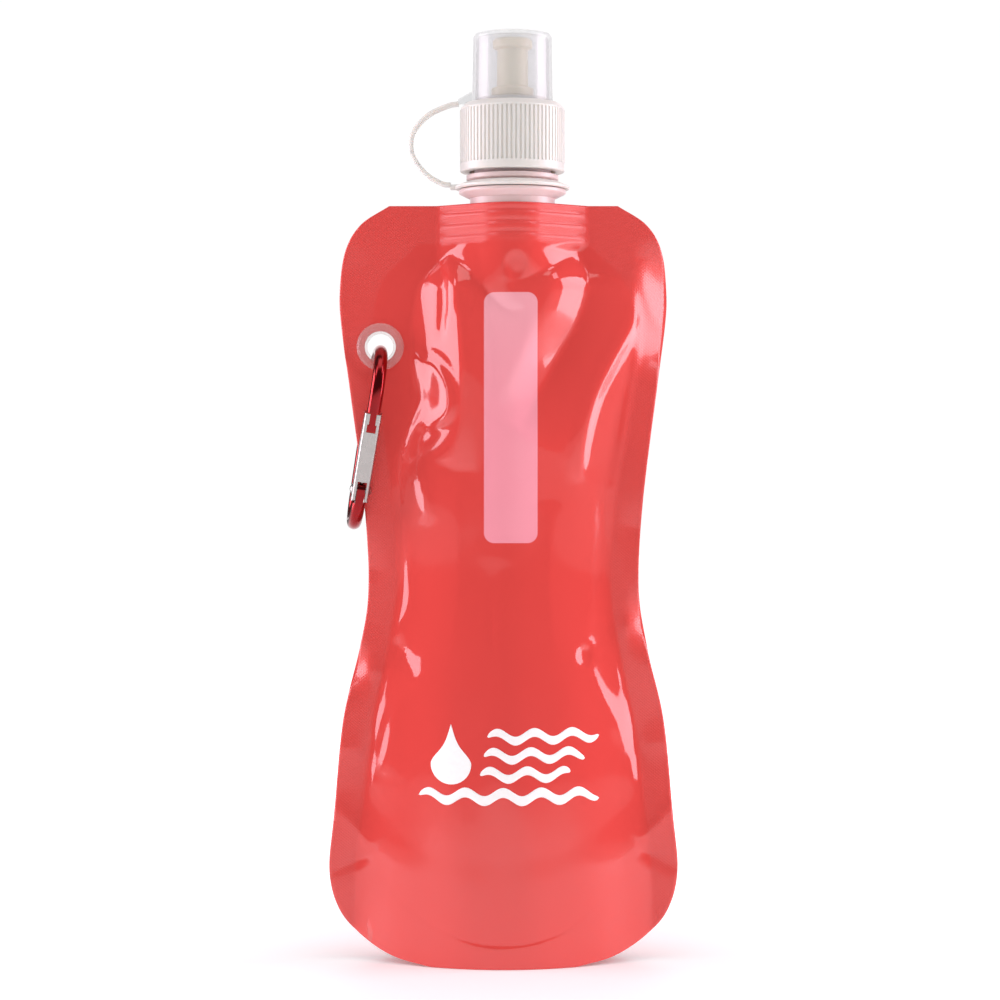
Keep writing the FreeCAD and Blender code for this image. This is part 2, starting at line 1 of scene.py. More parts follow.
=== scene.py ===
import bpy
import bmesh
import math
import numpy as np
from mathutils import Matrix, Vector


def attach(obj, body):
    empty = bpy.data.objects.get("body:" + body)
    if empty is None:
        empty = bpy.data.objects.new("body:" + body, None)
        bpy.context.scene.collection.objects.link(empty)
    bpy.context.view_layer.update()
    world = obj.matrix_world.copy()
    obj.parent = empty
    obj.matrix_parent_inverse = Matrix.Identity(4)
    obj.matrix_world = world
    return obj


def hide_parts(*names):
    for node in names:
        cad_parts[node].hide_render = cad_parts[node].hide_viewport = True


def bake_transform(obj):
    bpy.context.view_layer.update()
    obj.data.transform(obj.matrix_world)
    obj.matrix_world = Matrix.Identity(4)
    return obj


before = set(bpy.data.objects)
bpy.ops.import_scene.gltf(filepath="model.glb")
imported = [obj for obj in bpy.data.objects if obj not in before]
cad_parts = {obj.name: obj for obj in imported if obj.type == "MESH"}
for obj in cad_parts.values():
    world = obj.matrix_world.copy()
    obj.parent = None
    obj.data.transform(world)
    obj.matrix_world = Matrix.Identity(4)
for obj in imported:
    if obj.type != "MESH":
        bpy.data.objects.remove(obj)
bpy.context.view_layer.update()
print("frame loaded:", len(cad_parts), "nodes")

mm = 0.001


# ---------- small helpers

def smoothStep(t):
    t = np.clip(t, 0.0, 1.0)
    return t * t * (3 - 2 * t)


def readCurve(stations, at):
    # smooth curve through (place, value) stations, read at many places
    place = np.array([s[0] for s in stations], float)
    value = np.array([s[1] for s in stations], float)
    slope = np.gradient(value, place)
    i = np.clip(np.searchsorted(place, at, side="right") - 1, 0, len(place) - 2)
    gap = place[i + 1] - place[i]
    t = (at - place[i]) / gap
    return ((2 * t**3 - 3 * t**2 + 1) * value[i] + (t**3 - 2 * t**2 + t) * gap * slope[i]
            + (3 * t**2 - 2 * t**3) * value[i + 1] + (t**3 - t**2) * gap * slope[i + 1])


def throughPoints(points, steps):
    # points along a smooth line through the given ones
    p = np.array(points, float)
    p = np.vstack([2 * p[0] - p[1], p, 2 * p[-1] - p[-2]])
    line = []
    for i in range(1, len(p) - 2):
        for t in np.linspace(0, 1, steps, endpoint=False):
            line.append(0.5 * (2 * p[i] + (p[i + 1] - p[i - 1]) * t
                               + (2 * p[i - 1] - 5 * p[i] + 4 * p[i + 1] - p[i + 2]) * t**2
                               + (3 * p[i] - p[i - 1] - 3 * p[i + 1] + p[i + 2]) * t**3))
    line.append(p[-2])
    return np.array(line)


def linear(hexColour):
    channels = [int(hexColour[i:i + 2], 16) / 255 for i in (1, 3, 5)]
    return [c / 12.92 if c <= 0.04045 else ((c + 0.055) / 1.055)**2.4 for c in channels] + [1.0]


def addNode(tree, kind, settings=None, inputs=None):
    node = tree.nodes.new(kind)
    for name, value in (settings or {}).items():
        setattr(node, name, value)
    for name, value in (inputs or {}).items():
        if isinstance(value, bpy.types.NodeSocket):
            tree.links.new(value, node.inputs[name])
        else:
            node.inputs[name].default_value = value
    return node


def newMaterial(name):
    material = bpy.data.materials.new(name)
    material.use_nodes = True
    tree = material.node_tree
    tree.nodes.clear()
    return material, tree


def finishMaterial(tree, inputs):
    shader = addNode(tree, "ShaderNodeBsdfPrincipled", None, inputs)
    addNode(tree, "ShaderNodeOutputMaterial", None, {"Surface": shader.outputs["BSDF"]})


def addPiece(name, bm, material):
    mesh = bpy.data.meshes.new(name)
    bm.to_mesh(mesh)
    bm.free()
    mesh.materials.append(material)
    mesh.shade_smooth()
    piece = bpy.data.objects.new(name, mesh)
    bpy.context.scene.collection.objects.link(piece)
    return piece


def mappedGrid(columns, rows, place):
    # a flat grid whose points are moved by place(u, v), with u and v from -1 to 1
    bm = bmesh.new()
    bmesh.ops.create_grid(bm, x_segments=columns, y_segments=rows, size=1.0)
    u = np.array([v.co.x for v in bm.verts])
    v = np.array([v.co.y for v in bm.verts])
    x, y, z = place(u, v)
    for vert, px, py, pz in zip(bm.verts, x, y, z):
        vert.co = (px * mm, py * mm, pz * mm)
    return bm


def thicken(bm, thickness):
    bmesh.ops.recalc_face_normals(bm, faces=bm.faces)
    bmesh.ops.solidify(bm, geom=bm.faces[:], thickness=thickness * mm)
    bmesh.ops.recalc_face_normals(bm, faces=bm.faces)


# ---------- the pouch's shape, in millimetres

pouch = {
    "height": 210.9,
    "filmThick": 0.3,
    "weldGap": 0.08,
    "columns": 112,
    "rows": 236,
    "edge": [(20, 0), (31, 2.2), (40, 7.2), (46.0, 14.2), (48.7, 25), (47.4, 41), (44.9, 67),
             (40.5, 86), (37.9, 103), (38.9, 127), (42.8, 158), (45.4, 177), (45.9, 187),
             (44.4, 198), (40.0, 205.6), (32, 210.9)],
    "depths": [(-6, 18.6), (18, 18.6), (45, 17.0), (75, 14.2), (103, 11.8), (132, 11.6),
               (160, 12.0), (185, 11.8), (200, 12.6), (218, 12.6)],
    "fullness": 1.2,            # power that rounds the chamber's section
    "chamber": [(-6, 41.5), (28, 41.3), (45, 39.3), (67, 36.6), (86, 32.6), (103, 30.2),
                (127, 31.2), (158, 35.0), (180, 36.5), (191, 33.0), (200, 24.0), (218, 20.0)],
    "spoutX": 2.5,
    "lean": (120, 60),          # height where the chamber starts to lean to the spout, and length
    "toBoat": (187, 13),        # the same for its change to the boat's section
    "boatRadius": 12.6,
    "boatTip": 21.0,
    "boatLow": 200.4,
    "ribPitch": 3.13,
    "eye": (-34.5, 171.5),
    "eyeHole": 4.3,
    "eyeFlat": 7.4,             # radius of the flat welded patch round the eyelet
    "eyeFade": 3.0,
    "eyeWeld": 8.5,             # how much wider the weld is beside the eyelet
    "eyeWeldLow": (132, 26),    # where that starts, and over what height it grows
    "eyeWeldHigh": (212, 16),   # where it ends, and over what height it fades
    "window": (-5.4, 9.4, 116.7, 186.0),  # left, right, low and high edge of the clear strip
}

edgeLine = throughPoints(pouch["edge"], 24)


def halfWidth(z):
    # half the width of the pouch's outline
    return np.interp(z, edgeLine[:, 1], edgeLine[:, 0])


def boatDepth(x):
    # half the depth of the spout's boat: a round middle with two straight-sided tips
    r, tip = pouch["boatRadius"], pouch["boatTip"]
    touch = r**2 / tip
    slope = math.sqrt(r**2 - touch**2) / (tip - touch)
    x = np.abs(x)
    middle = np.sqrt(np.maximum(r**2 - x**2, 0))
    return np.where(x <= touch, middle, slope * np.maximum(tip - x, 0))


def eyeFree(x, z):
    # 0 on the welded patch round the eyelet, 1 away from it
    away = np.hypot(x - pouch["eye"][0], z - pouch["eye"][1])
    return smoothStep((away - pouch["eyeFlat"]) / pouch["eyeFade"])


def rising(z, span):
    # 0 below the span's start, 1 above its end
    return smoothStep((z - span[0]) / span[1])


def fading(z, span):
    # 1 well below the span's end, 0 above it
    return smoothStep((span[0] - z) / span[1])


def openShare(x, z):
    # 1 in the middle of the chamber, 0 at the inner edge of the side welds
    out = x - pouch["spoutX"] * rising(z, pouch["lean"])
    wider = pouch["eyeWeld"] * rising(z, pouch["eyeWeldLow"]) * fading(z, pouch["eyeWeldHigh"])
    room = readCurve(pouch["chamber"], z) - np.where(out < 0, wider, 0)
    return np.maximum(0, 1 - (out / room)**2)


def bagDepth(x, z):
    # half the depth of the open pouch at a point of its front view
    toBoat = rising(z, pouch["toBoat"])
    bag = readCurve(pouch["depths"], z) * openShare(x, z)**pouch["fullness"]
    return (1 - toBoat) * bag + toBoat * boatDepth(x - pouch["spoutX"])


# ---------- creases and dents, each a line in the front view with a height in millimetres

# the curved weld between each panel and the gusset
gussetWeld = [(-39, 32), (-31, 20.8), (-21, 12.4), (-10, 8), (0, 6.8), (10, 8), (21, 12.4),
              (31, 20.8), (39, 32)]

frontFolds = [
    # two creases from the ends of the boat, which meet under its middle
    {"line": [(-17.2, 199.6), (-10.3, 192.6), (-4.4, 185.4), (1.2, 180.7), (6.0, 181.2)],
     "height": -1.1, "left": 2.6, "right": 1.6, "round": 0.15},
    {"line": [(21.4, 199.2), (13.4, 193.2), (6.0, 189.6), (1.4, 188.4)],
     "height": -1.3, "left": 2.0, "right": 3.4, "round": 0.2},
    # the film falls away steeply from the boat's right side into this long valley
    {"line": [(21.3, 201), (23.3, 193), (23.2, 186.5), (20.6, 178.2), (16.8, 171.3), (13.2, 164.5),
              (9.0, 156.5), (4.5, 147.5)],
     "height": -5.6, "left": 11.0, "right": 8.4, "round": 0.5, "flat": True, "foot": 0.06},
    # shoulder down the left of the window, steep on its outer side
    {"line": [(-16.6, 198), (-13.8, 188.5), (-11.6, 172), (-11.6, 156), (-14.4, 138)],
     "height": 3.4, "left": 8.0, "right": 9.0, "round": 0.4, "flat": True},
    {"line": [(-17.2, 194), (-16.6, 184), (-17.3, 172.5)],
     "height": -0.9, "left": 1.3, "right": 1.7, "round": 0.2, "flat": True},
    # a fold that curls round below the eyelet
    {"line": [(-27.6, 169.0), (-24.4, 168.3), (-20.4, 166.6), (-17.0, 162.4), (-15.3, 157.4),
              (-15.8, 152.6), (-19.2, 150.6), (-23.4, 150.0), (-26.0, 147.0), (-27.2, 140.0)],
     "height": 1.5, "left": 2.4, "right": 7.5, "round": 0.25, "flat": True},
    {"line": [(-25.6, 163.0), (-25.2, 155.4), (-30.6, 150.6)],
     "height": -0.8, "left": 3.0, "right": 3.0, "round": 0.3, "flat": True},
    # ridge from the right shoulder down to the waist
    {"line": [(41, 193), (37.0, 179.6), (30.4, 167.3), (25.4, 157), (22.4, 145.2), (21.2, 134)],
     "height": 1.3, "left": 2.0, "right": 4.0, "round": 0.2, "flat": True, "foot": 0.03},
    {"line": [(38.6, 180), (34.6, 163), (31.0, 146), (29.2, 133)],
     "height": -0.7, "left": 3.0, "right": 2.2, "round": 0.5},
    {"line": [(36.6, 168), (33.2, 146), (32.6, 124), (32.2, 106)],
     "height": 0.6, "left": 1.6, "right": 2.0, "round": 0.3},
    # folds that run together at the pinched spot on the right
    {"line": [(23.4, 137), (24.4, 126.6), (23.9, 100.7), (22.4, 86.4)],
     "height": 0.3, "left": 3.0, "right": 3.4, "round": 0.5},
    {"line": [(30.2, 136), (27.8, 129.2), (28.5, 118.9), (30.1, 108), (31.7, 100.7), (30.1, 93),
              (22.6, 85.6)],
     "height": -0.35, "left": 1.8, "right": 1.8, "round": 0.3},
    {"line": [(22.4, 85.7), (26.6, 76.0), (31.0, 67.0), (35.0, 58.0)],
     "height": 0.35, "left": 2.0, "right": 3.4, "round": 0.3},
    {"line": [(32.0, 90.0), (35.3, 80), (37.2, 69.7), (38.0, 57.0)],
     "height": -0.45, "left": 1.6, "right": 1.6, "round": 0.3},
    # the belly's brow: below it the front leans back a little more
    {"line": [(24.6, 90), (19.6, 77), (15.4, 67.6), (6, 60.5), (-8, 59.5), (-17.6, 65.5), (-23.8, 76),
              (-26.6, 84)],
     "height": 1.2, "left": 30.0, "right": 30.0, "round": 0.6, "flat": True},
    # folds on the left, under the hook
    {"line": [(-24.6, 139.5), (-22.0, 131), (-20.6, 122)],
     "height": 1.0, "left": 1.5, "right": 3.0, "round": 0.25},
    {"line": [(-31.6, 148), (-29.6, 133), (-30.4, 115), (-30.4, 102), (-32.4, 90), (-27.6, 80)],
     "height": -0.7, "left": 2.0, "right": 1.8, "round": 0.4},
    {"line": [(-27.5, 124), (-26.4, 112), (-26.2, 100), (-29.0, 93), (-31.5, 84)],
     "height": 0.45, "left": 2.0, "right": 2.4, "round": 0.4},
    {"line": [(-30.8, 90), (-27.4, 84.6), (-24.0, 79.6)],
     "height": -0.7, "left": 1.8, "right": 1.8, "round": 0.3},
    {"line": [(-35.6, 78), (-33.6, 64), (-36.6, 50)],
     "height": -0.25, "left": 2.2, "right": 2.2, "round": 0.5},
    {"line": [(-28.5, 76), (-31.0, 64), (-34.0, 52)],
     "height": 0.4, "left": 2.2, "right": 2.6, "round": 0.5},
    # soft upright waves on the middle of the body
    {"line": [(-13.5, 133), (-12.6, 108), (-14.5, 86)],
     "height": 0.4, "left": 3.0, "right": 3.0, "round": 0.9},
    {"line": [(-2.5, 112), (-3.4, 97), (-2.2, 80)],
     "height": -0.3, "left": 3.0, "right": 3.0, "round": 0.9},
    {"line": [(13.5, 128), (12.6, 105), (14.5, 84)],
     "height": 0.4, "left": 3.0, "right": 3.2, "round": 0.9},
    # edge of the weld to the gusset
    {"line": gussetWeld, "height": -0.18, "left": 1.5, "right": 0.8, "round": 0.3},
]

backFolds = [
    {"line": [(-17.0, 200), (-8, 193), (-1.0, 187)],
     "height": -1.3, "left": 2.4, "right": 2.4, "round": 0.4},
    {"line": [(21.6, 200), (13.5, 192.5), (4.0, 186)],
     "height": -1.3, "left": 2.4, "right": 2.4, "round": 0.4},
    {"line": [(-18, 197), (-20.6, 180), (-14, 163), (-9.5, 150)],
     "height": 1.8, "left": 5.0, "right": 2.4, "round": 0.5},
    {"line": [(22, 196), (19.5, 178), (21.5, 160), (16, 141)],
     "height": 1.6, "left": 2.4, "right": 5.0, "round": 0.5},
    {"line": [(30, 168), (25.5, 146), (28.5, 122), (24, 100)],
     "height": -1.2, "left": 2.4, "right": 2.4, "round": 0.5},
    {"line": [(-29, 148), (-26.5, 124), (-29.5, 100), (-34, 76)],
     "height": 1.3, "left": 2.0, "right": 3.0, "round": 0.4},
    {"line": [(24, 100), (31, 82), (37, 64)],
     "height": 1.3, "left": 2.0, "right": 3.0, "round": 0.4},
    {"line": [(-22, 92), (-30, 76), (-36, 62)],
     "height": -1.2, "left": 2.4, "right": 2.4, "round": 0.4},
    {"line": [(-6, 130), (-4.5, 108), (-7, 88)],
     "height": 0.5, "left": 2.8, "right": 2.8, "round": 0.9},
    {"line": [(8, 118), (9.5, 98), (7, 78)],
     "height": -0.45, "left": 2.8, "right": 2.8, "round": 0.9},
    {"line": gussetWeld, "height": -0.35, "left": 0.8, "right": 0.8, "round": 0.3},
]

# dents: centre, radius of the rim, height of the rim, depth of the hollow, width of the rim
frontDents = [
    {"at": (22.4, 85.4), "radius": 2.0, "rim": 0.0, "hollow": -0.7, "width": 1.5},
    {"at": (3.4, 193.4), "radius": 3.0, "rim": 0.15, "hollow": -0.6, "width": 0.9},
    {"at": (-10.8, 183.5), "radius": 2.6, "rim": 0.1, "hollow": -0.35, "width": 0.8},
]

backDents = [
    {"at": (14.0, 152.0), "radius": 7.0, "rim": 0.6, "hollow": -1.2, "width": 1.8},
    {"at": (-12.0, 116.0), "radius": 5.0, "rim": 0.4, "hollow": -0.8, "width": 1.8},
]

# kinks that cross the side welds, which bend both panels the same way
weldKinks = [
    {"line": [(-37, 31), (-42, 38), (-48, 44)], "height": 0.8, "left": 3.0, "right": 2.0, "round": 0.5},
    {"line": [(-37, 30), (-49, 24)], "height": -0.7, "left": 2.4, "right": 2.4, "round": 0.5},
    {"line": [(38, 33), (43, 38), (48, 45)], "height": 0.9, "left": 2.0, "right": 3.0, "round": 0.5},
    {"line": [(38, 32), (49, 25)], "height": -0.6, "left": 2.4, "right": 2.4, "round": 0.5},
    {"line": [(-31, 80), (-45, 83)], "height": 0.9, "left": 3.0, "right": 3.0, "round": 0.8},
    {"line": [(31, 92), (45, 97)], "height": 1.1, "left": 3.5, "right": 3.5, "round": 0.8},
    {"line": [(29, 122), (42, 120)], "height": -0.8, "left": 4.0, "right": 4.0, "round": 0.8},
    {"line": [(-32, 108), (-43, 112)], "height": -0.6, "left": 4.0, "right": 4.0, "round": 0.8},
    {"line": [(38, 196), (41, 184), (47, 172)], "height": 0.9, "left": 3.5, "right": 2.5, "round": 0.8},
    {"line": [(39, 60), (48, 62)], "height": 0.6, "left": 4.0, "right": 4.0, "round": 0.8},
    {"line": [(-39, 58), (-48, 60)], "height": 0.6, "left": 4.0, "right": 4.0, "round": 0.8},
]


def foldHeight(x, z, folds):
    # a fold falls off over its left and right widths, and fades out at its two ends; a flat
    # one has straight sides down to a soft foot, as where stiff film bends along a line
    total = np.zeros_like(x)
    for fold in folds:
        line = throughPoints(fold["line"], 6)
        best = np.full_like(x, 1e9)
        side = np.zeros_like(x)
        along = np.zeros_like(x)
        count = len(line) - 1
        for i in range(count):
            step = line[i + 1] - line[i]
            fx, fz = x - line[i][0], z - line[i][1]
            t = np.clip((fx * step[0] + fz * step[1]) / (step @ step), 0, 1)
            away = np.hypot(fx - t * step[0], fz - t * step[1])
            nearer = away < best
            best = np.where(nearer, away, best)
            side = np.where(nearer, step[0] * fz - step[1] * fx, side)
            along = np.where(nearer, (i + t) / count, along)
        width = np.where(side > 0, fold["left"], fold["right"])
        crest = np.sqrt(best**2 + fold["round"]**2) - fold["round"]
        if fold.get("flat"):
            left = 1 - crest / width
            foot = fold.get("foot", 0.006)
            fall = (left + np.sqrt(left**2 + foot)) / (1 + math.sqrt(1 + foot))
        else:
            fall = np.exp(-crest / width)
        ends = np.sin(np.pi * np.clip(along, 0, 1))**0.6
        total += fold["height"] * fall * ends
    return total


def dentHeight(x, z, dents):
    total = np.zeros_like(x)
    for dent in dents:
        away = np.hypot(x - dent["at"][0], (z - dent["at"][1]) * 0.8)
        rim = np.exp(-((away - dent["radius"]) / dent["width"])**2)
        hollow = np.exp(-(away / dent["radius"])**4)
        total += dent["rim"] * rim + dent["hollow"] * hollow
    return total


def weldWave(x, z):
    # the slack side welds wander a little to the front and back
    out = smoothStep((np.abs(x) - 26) / 18)
    wave = 0.7 * np.sin(z / 17 + 0.8 * np.sign(x)) + 0.35 * np.sin(z / 7.3 + 2.1 * np.sign(x))
    tuck = np.exp(-((z - 205) / 14)**2) * 0.5
    level = smoothStep(z / 12) * smoothStep((212 - z) / 20)
    return out * (wave * level + tuck * level) * eyeFree(x, z)


# where a weld's edge is curled backwards (side, distance out, height, reach and power), how far
# it leans and how round its bend is
weldCurls = {"lean": 0.475, "round": 0.8,
             "places": [(1, 36.8, 181, 15.0, 4), (1, 34.6, 94.5, 6.0, 2), (-1, 37.4, 81.6, 4.5, 2)]}


def weldCurl(x, z):
    total = np.zeros_like(x)
    for side, start, level, reach, power in weldCurls["places"]:
        out = side * x - start
        bent = out + np.sqrt(out**2 + weldCurls["round"])
        total -= weldCurls["lean"] * bent * np.exp(-(np.abs(z - level) / reach)**power)
    return total


def weldPucker(x, z, side):
    # short wrinkles that start at the side welds and fade towards the middle
    fromWeld = np.maximum(readCurve(pouch["chamber"], z) - np.abs(x), 0)
    near = np.exp(-fromWeld / 5.0) * smoothStep(fromWeld / 2.0)
    ripple = np.sin(z / 3.1 + 1.7 * np.sin(z / 11) + side) * (0.5 + 0.5 * np.sin(z / 23 + side))
    return 0.22 * near * ripple * smoothStep((196 - z) / 12) * smoothStep((z - 30) / 12)


def ribRipple(z):
    # the film is drawn in between the boat's ribs
    inBoat = smoothStep((z - pouch["boatLow"] + 0.4) / 0.8)
    turn = (z - pouch["boatLow"] - 0.75) / pouch["ribPitch"]
    return -0.5 * inBoat * (0.5 - 0.5 * np.cos(2 * np.pi * turn))**3


def outerFace(x, z, side):
    # distance of the film's outer face from the middle plane; side is -1 for the front
    folds, dents = (frontFolds, frontDents) if side < 0 else (backFolds, backDents)
    free = smoothStep(openShare(x, z) / 0.14) * eyeFree(x, z) * smoothStep((201 - z) / 3)
    base = smoothStep(z / 6)
    made = foldHeight(x, z, folds) + dentHeight(x, z, dents) + weldPucker(x, z, side)
    slack = 0.16 * np.sin(x / 2.9 + 1.3 * np.sin(z / 37 + side)) * smoothStep((190 - z) / 30)
    boat = smoothStep(boatDepth(x - pouch["spoutX"]) / 2.0)
    out = bagDepth(x, z) + (made + slack) * free * base + ribRipple(z) * boat
    shared = weldWave(x, z) + foldHeight(x, z, weldKinks) * smoothStep((np.abs(x) - 30) / 8)
    shared *= 1 - smoothStep(openShare(x, z) / 0.5)
    shared += weldCurl(x, z)
    shared *= eyeFree(x, z)
    return side * (np.maximum(out, 0) + pouch["weldGap"] + pouch["filmThick"]) - shared


def filmBlank(side):
    def place(u, v):
        # the rows lie closer together near the base and the top
        t = (v + 1) / 2
        z = pouch["height"] * (t - 0.45 * np.sin(2 * np.pi * t) / (2 * np.pi))
        x = halfWidth(z) * u
        return x, outerFace(x, z, side), z
    return mappedGrid(pouch["columns"], pouch["rows"], place)


def markWelds(piece):
    # a point attribute: 1 on the welded bands, 0 on the free film
    count = len(piece.data.vertices)
    at = np.empty(count * 3)
    piece.data.vertices.foreach_get("co", at)
    x, z = at[0::3] / mm, at[2::3] / mm
    inside = readCurve(pouch["chamber"], np.clip(z, 0, pouch["height"])) - np.abs(x)
    weld = 1 - smoothStep((inside + 0.8) / 1.6)
    top = smoothStep((z - 199.5) / 1.5)
    seam = np.maximum(weld, top)
    attribute = piece.data.attributes.new("weldBand", "FLOAT", "POINT")
    attribute.data.foreach_set("value", seam.astype(np.float32))


def cutEyelet(bm):
    # opens the film for the eyelet's barrel, and draws the cut edge out to a circle
    hole = pouch["eyeHole"] * mm
    eye = Vector((pouch["eye"][0] * mm, 0, pouch["eye"][1] * mm))

    def fromEye(v):
        return Vector((v.co.x, 0, v.co.z)) - eye

    gone = [f for f in bm.faces if all(fromEye(v).length < hole for v in f.verts)]
    bmesh.ops.delete(bm, geom=gone, context="FACES")
    rim = {v for e in bm.edges if e.is_boundary for v in e.verts
           if fromEye(v).length < hole * 1.6}
    for v in rim:
        away = fromEye(v)
        v.co += away.normalized() * (hole * 1.02 - away.length)


# ---------- finishes

def laminatedFilm(name, window):
    # printed PET film laminated to clear PE: a hard gloss over one even red ink
    look = {"red": "#DD4A46", "deepRed": "#DC433D", "window": "#F498A6", "windowPale": "#F0A2AC",
            "paleSpan": (0.150, 0.184), "corner": 2.8, "inkEdge": 0.12,
            "hatchPitch": 0.62 * mm, "roughness": 0.07, "weldRoughness": 0.24}
    material, tree = newMaterial(name)
    place = addNode(tree, "ShaderNodeTexCoord").outputs["Object"]
    weld = addNode(tree, "ShaderNodeAttribute", {"attribute_name": "weldBand"}).outputs["Fac"]
    cloud = addNode(tree, "ShaderNodeTexNoise", None,
                    {"Vector": place, "Scale": 22.0, "Detail": 2.0}).outputs["Fac"]
    red = addNode(tree, "ShaderNodeMix", {"data_type": "RGBA"},
                  {0: cloud, 6: linear(look["red"]), 7: linear(look["deepRed"])}).outputs[2]
    colour = red
    if window:
        # a clear strip left in the ink, with rounded corners, shows how full the bottle is
        left, right, low, high = pouch["window"]
        radius, blur = look["corner"], look["inkEdge"]
        centre = ((left + right) / 2 * mm, 0, (low + high) / 2 * mm)
        reach = ((right - left) / 2 - radius, 1000, (high - low) / 2 - radius)
        offset = addNode(tree, "ShaderNodeVectorMath", {"operation": "SUBTRACT"},
                         {0: place, 1: centre}).outputs[0]
        folded = addNode(tree, "ShaderNodeVectorMath", {"operation": "ABSOLUTE"},
                         {0: offset}).outputs[0]
        past = addNode(tree, "ShaderNodeVectorMath", {"operation": "SUBTRACT"},
                       {0: folded, 1: [r * mm for r in reach]}).outputs[0]
        outside = addNode(tree, "ShaderNodeVectorMath", {"operation": "MAXIMUM"},
                          {0: past, 1: (0, 0, 0)}).outputs[0]
        distance = addNode(tree, "ShaderNodeVectorMath", {"operation": "LENGTH"},
                           {0: outside}).outputs["Value"]
        inWindow = addNode(tree, "ShaderNodeMapRange", None,
                           {"Value": distance, "From Min": (radius + blur) * mm,
                            "From Max": (radius - blur) * mm}).outputs["Result"]
        height = addNode(tree, "ShaderNodeSeparateXYZ", None, {0: place}).outputs["Z"]
        upper = addNode(tree, "ShaderNodeMapRange", None,
                        {"Value": height, "From Min": look["paleSpan"][0],
                         "From Max": look["paleSpan"][1]}).outputs["Result"]
        clear = addNode(tree, "ShaderNodeMix", {"data_type": "RGBA"},
                        {0: upper, 6: linear(look["window"]), 7: linear(look["windowPale"])})
        colour = addNode(tree, "ShaderNodeMix", {"data_type": "RGBA"},
                         {0: inWindow, 6: red, 7: clear.outputs[2]}).outputs[2]
    # heat-sealing jaws leave a fine crossed hatch, on the welded bands only; a wave at scale 1
    # has a band every 0.314 m
    hatch = []
    for angle in (0.9, -0.9):
        turned = addNode(tree, "ShaderNodeMapping", None,
                         {"Vector": place, "Rotation": (0, angle, 0)}).outputs[0]
        wave = addNode(tree, "ShaderNodeTexWave", {"bands_direction": "X"},
                       {"Vector": turned, "Scale": 0.314 / look["hatchPitch"]})
        hatch.append(wave.outputs["Fac"])
    crossed = addNode(tree, "ShaderNodeMath", {"operation": "MULTIPLY"},
                      {0: hatch[0], 1: hatch[1]}).outputs[0]
    onWeld = addNode(tree, "ShaderNodeMath", {"operation": "MULTIPLY"},
                     {0: crossed, 1: weld}).outputs[0]
    sealed = addNode(tree, "ShaderNodeBump", None,
                     {"Height": onWeld, "Strength": 0.7, "Distance": 0.06 * mm}).outputs[0]
    peel = addNode(tree, "ShaderNodeTexNoise", None,
                   {"Vector": place, "Scale": 260.0, "Detail": 3.0}).outputs["Fac"]
    skin = addNode(tree, "ShaderNodeBump", None,
                   {"Height": peel, "Strength": 0.25, "Distance": 0.05 * mm,
                    "Normal": sealed}).outputs[0]
    dull = addNode(tree, "ShaderNodeMapRange", None,
                   {"Value": weld, "To Min": look["roughness"],
                    "To Max": look["weldRoughness"]}).outputs["Result"]
    finishMaterial(tree, {"Base Color": colour, "Roughness": dull, "IOR": 1.5, "Normal": skin,
                          "Coat Weight": 0.35, "Coat Roughness": 0.03})
    return material


def mouldedPlastic(name, look):
    # injection-moulded polyolefin: milky, a little light passes in, faint moulding haze
    material, tree = newMaterial(name)
    place = addNode(tree, "ShaderNodeTexCoord").outputs["Object"]
    haze = addNode(tree, "ShaderNodeTexNoise", None,
                   {"Vector": place, "Scale": 90.0, "Detail": 3.0}).outputs["Fac"]
    colour = addNode(tree, "ShaderNodeMix", {"data_type": "RGBA"},
                     {0: haze, 6: linear(look["light"]), 7: linear(look["dark"])}).outputs[2]
    rough = addNode(tree, "ShaderNodeMapRange", None,
                    {"Value": haze, "To Min": look["roughness"] - 0.05,
                     "To Max": look["roughness"] + 0.07}).outputs["Result"]
    grain = addNode(tree, "ShaderNodeTexNoise", None,
                    {"Vector": place, "Scale": 1400.0, "Detail": 2.0}).outputs["Fac"]
    skin = addNode(tree, "ShaderNodeBump", None,
                   {"Height": grain, "Strength": 0.12, "Distance": 0.03 * mm}).outputs[0]
    finishMaterial(tree, {"Base Color": colour, "Roughness": rough, "IOR": 1.5, "Normal": skin,
                          "Subsurface Weight": look["milk"], "Subsurface Scale": 2.0 * mm,
                          "Subsurface Radius": (1.0, 0.85, 0.75)})
    return material


def clearPlastic(name, look):
    # clear polypropylene: glassy skin over a slight milkiness, faint flow lines from the mould
    material, tree = newMaterial(name)
    place = addNode(tree, "ShaderNodeTexCoord").outputs["Object"]
    flow = addNode(tree, "ShaderNodeTexNoise", None,
                   {"Vector": place, "Scale": 60.0, "Detail": 2.0}).outputs["Fac"]
    rough = addNode(tree, "ShaderNodeMapRange", None,
                    {"Value": flow, "To Min": look["roughness"],
                     "To Max": look["roughness"] + 0.08}).outputs["Result"]
    skin = addNode(tree, "ShaderNodeBump", None,
                   {"Height": flow, "Strength": 0.15, "Distance": 0.2 * mm}).outputs[0]
    finishMaterial(tree, {"Base Color": linear(look["tint"]), "Roughness": rough, "IOR": 1.5,
                          "Alpha": look["milk"], "Coat Weight": 1.0, "Coat Roughness": 0.04,
                          "Normal": skin})
    return material


